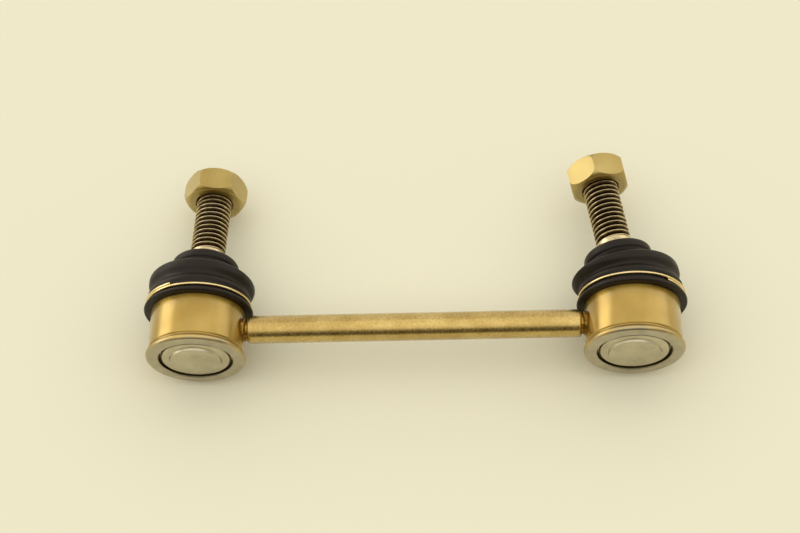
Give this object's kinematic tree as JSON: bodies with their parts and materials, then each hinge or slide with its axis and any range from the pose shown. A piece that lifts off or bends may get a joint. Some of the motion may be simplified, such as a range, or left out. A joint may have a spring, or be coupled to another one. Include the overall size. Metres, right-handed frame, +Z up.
{
  "type": "stabilizer link",
  "caption": "Straight rod with a sealed ball joint at each end, each with a rubber boot, a threaded stud and a nut; joins a stabilizer bar to the suspension.",
  "frame": {"origin": "on the surface that the link lies on, below the middle of its bounding box", "axes": "+X along the rod, +Y the way the studs point, +Z up"},
  "size_m": [0.1516, 0.0626, 0.031],
  "materials": {
    "drawn_yellow_zinc": "drawn bar, yellow zinc plated",
    "yellow_zinc": "turned steel, yellow zinc plated",
    "bare_steel": "pressed steel, satin",
    "ground_steel": "ground ball, bright",
    "thread_steel": "rolled thread, dark",
    "spring_wire": "yellow zinc plated spring wire, bright",
    "boot_rubber": "moulded rubber, satin",
    "seat_plastic": "moulded bearing plastic"
  },
  "bodies": {
    "link": {"link_rod": "drawn_yellow_zinc", "left_weld": "yellow_zinc", "left_housing": "yellow_zinc", "left_bearing": "seat_plastic", "left_cover": "bare_steel", "left_boot": "boot_rubber", "left_clamp_ring": "spring_wire", "right_weld": "yellow_zinc", "right_housing": "yellow_zinc", "right_bearing": "seat_plastic", "right_cover": "bare_steel", "right_boot": "boot_rubber", "right_clamp_ring": "spring_wire"},
    "left_ball": {"left_ball": "ground_steel"},
    "left_lip_ring": {"left_lip_ring": "bare_steel"},
    "left_stud": {"left_stud": "thread_steel"},
    "left_nut": {"left_nut": "yellow_zinc"},
    "right_ball": {"right_ball": "ground_steel"},
    "right_lip_ring": {"right_lip_ring": "bare_steel"},
    "right_stud": {"right_stud": "thread_steel"},
    "right_nut": {"right_nut": "yellow_zinc"}
  },
  "joints": [
    {"name": "left_turn", "type": "hinge", "parent": "link", "child": "left_ball", "pos_m": [-0.0605, -0.01999, 0.01576], "axis": [0, 1, 0], "continuous": true, "deforming": ["left_boot"]},
    {"name": "left_swing", "type": "hinge", "parent": "left_ball", "child": "left_lip_ring", "pos_m": [-0.0605, -0.01999, 0.01576], "axis": [-0.91, 0, -0.4145], "range_deg": [-28.04, 15.96], "deforming": ["left_boot"]},
    {"name": "left_spin", "type": "hinge", "parent": "left_lip_ring", "child": "left_stud", "pos_m": [-0.0605, -0.01999, 0.01576], "axis": [0.0436, 0.9944, -0.0958], "continuous": true},
    {"name": "left_nut_travel", "type": "slide", "parent": "left_stud", "child": "left_nut", "axis": [0.0436, 0.9944, -0.0958], "range_m": [-0.018, 0.015]},
    {"name": "right_turn", "type": "hinge", "parent": "link", "child": "right_ball", "pos_m": [0.0605, -0.01999, 0.01576], "axis": [0, 1, 0], "continuous": true, "deforming": ["right_boot"]},
    {"name": "right_swing", "type": "hinge", "parent": "right_ball", "child": "right_lip_ring", "pos_m": [0.0605, -0.01999, 0.01576], "axis": [-0.0521, 0, 0.9986], "range_deg": [-31.51, 12.49], "deforming": ["right_boot"]},
    {"name": "right_spin", "type": "hinge", "parent": "right_lip_ring", "child": "right_stud", "pos_m": [0.0605, -0.01999, 0.01576], "axis": [-0.165, 0.9862, -0.0086], "continuous": true},
    {"name": "right_nut_travel", "type": "slide", "parent": "right_stud", "child": "right_nut", "axis": [-0.165, 0.9862, -0.0086], "range_m": [-0.018, 0.015]}
  ]
}
